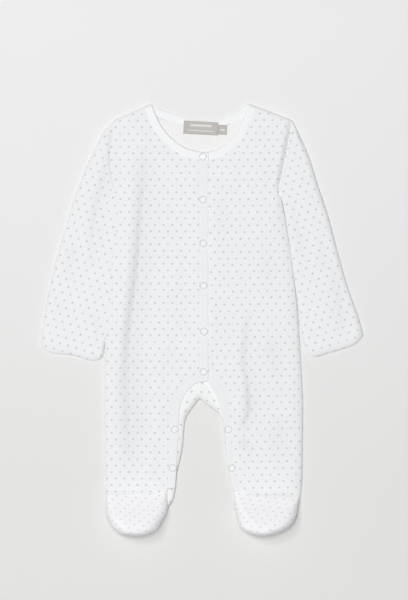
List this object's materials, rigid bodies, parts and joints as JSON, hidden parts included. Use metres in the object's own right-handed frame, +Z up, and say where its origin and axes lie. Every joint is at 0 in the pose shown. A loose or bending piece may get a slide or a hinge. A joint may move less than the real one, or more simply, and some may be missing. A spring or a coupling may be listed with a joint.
{
  "type": "footed baby sleepsuit",
  "caption": "Long-sleeved footed baby sleepsuit in dotted velour, laid flat on its back, with a snap placket down the front and round the crotch",
  "frame": {"origin": "bottom centre of the bounding box: the middle of the garment, on the surface it lies on", "axes": "+Y towards the neck, +Z up from the surface it lies on, -X is the wearer's right"},
  "size_m": [0.4178, 0.5606, 0.0468],
  "materials": {
    "dotted_velour": "soft matte velour with a small printed dot repeat",
    "plain_jersey": "matte knit",
    "sole_velour": "soft matte velour",
    "snap_enamel": "smooth white enamel",
    "label_tape": "matte woven tape"
  },
  "bodies": {
    "root": {"back": "dotted_velour", "front_right": "dotted_velour", "front_left": "dotted_velour", "sleeve_right": "dotted_velour", "sleeve_left": "dotted_velour", "gusset": "dotted_velour", "foot_upper_right": "dotted_velour", "foot_upper_left": "dotted_velour", "sole_right": "sole_velour", "sole_left": "sole_velour", "neck_binding": "plain_jersey", "placket_right": "plain_jersey", "placket_left": "plain_jersey", "label": "label_tape", "size_tab": "label_tape", "snap_cf_1": "snap_enamel", "snap_cf_2": "snap_enamel", "snap_cf_3": "snap_enamel", "snap_cf_4": "snap_enamel", "snap_cf_5": "snap_enamel", "snap_cf_6": "snap_enamel", "snap_leg_right_1": "snap_enamel", "snap_leg_right_2": "snap_enamel", "snap_leg_left_1": "snap_enamel", "snap_leg_left_2": "snap_enamel"}
  },
  "joints": []
}
